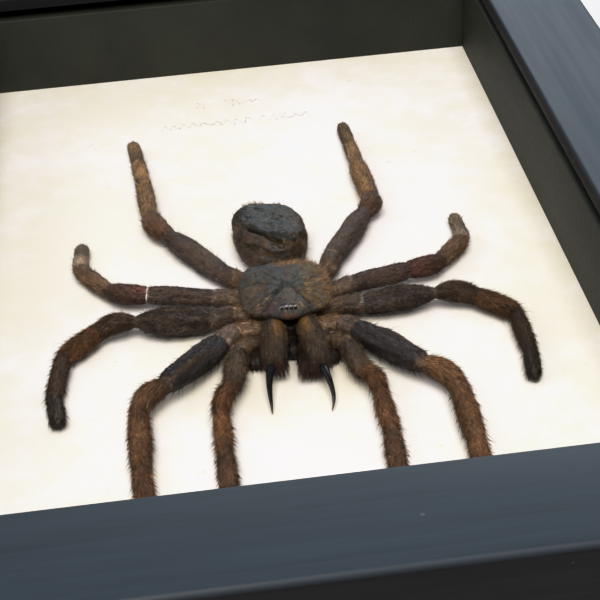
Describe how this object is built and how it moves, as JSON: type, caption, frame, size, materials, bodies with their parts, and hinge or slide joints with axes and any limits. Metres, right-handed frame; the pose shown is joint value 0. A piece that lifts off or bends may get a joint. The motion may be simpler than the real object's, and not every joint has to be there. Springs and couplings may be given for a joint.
{
  "type": "framed tarantula specimen",
  "caption": "Dried tarantula laid out on parchment paper in a deep black shadow-box frame with an open face, spacer walls and a hanger on the back.",
  "frame": {"origin": "middle of the case's back face, on the surface it lies on", "axes": "+Z out of the open face, +Y towards the specimen's head, which is the case's top when it hangs, +X to the specimen's right"},
  "size_m": [0.1664, 0.2324, 0.035],
  "materials": {
    "black_frame": "satin black paint over fine wood grain, slate-grey where it catches the light",
    "black_spacer": "matt black paint",
    "parchment": "cream paper, softly mottled, yellower towards its edges",
    "backing": "brown fibreboard",
    "steel": "zinc-plated steel",
    "body_shell": "dry dark shell, slate grey with patches of golden-brown hair",
    "hairy_limb": "dry brown skin under dense short hair",
    "fang": "polished black horn"
  },
  "bodies": {
    "root": {"frame_rail_bottom": "black_frame", "frame_rail_right": "black_frame", "frame_rail_top": "black_frame", "frame_rail_left": "black_frame", "spacer_bottom": "black_spacer", "spacer_right": "black_spacer", "spacer_top": "black_spacer", "spacer_left": "black_spacer", "parchment_sheet": "parchment", "backing_board": "backing", "retaining_point_1": "steel", "retaining_point_2": "steel", "retaining_point_3": "steel", "retaining_point_4": "steel", "retaining_point_5": "steel", "retaining_point_6": "steel", "sawtooth_hanger": "steel", "hanger_nail_left": "steel", "hanger_nail_right": "steel", "abdomen": "body_shell", "carapace": "body_shell", "sternum": "body_shell", "leg_right_1": "hairy_limb", "leg_right_2": "hairy_limb", "leg_right_3": "hairy_limb", "leg_right_4": "hairy_limb", "leg_left_1": "hairy_limb", "leg_left_2": "hairy_limb", "leg_left_3": "hairy_limb", "leg_left_4": "hairy_limb", "palp_right": "hairy_limb", "palp_left": "hairy_limb", "chelicera_right": "hairy_limb", "chelicera_left": "hairy_limb", "spinneret_right": "hairy_limb", "spinneret_left": "hairy_limb", "fang_right": "fang", "fang_left": "fang"}
  },
  "joints": []
}
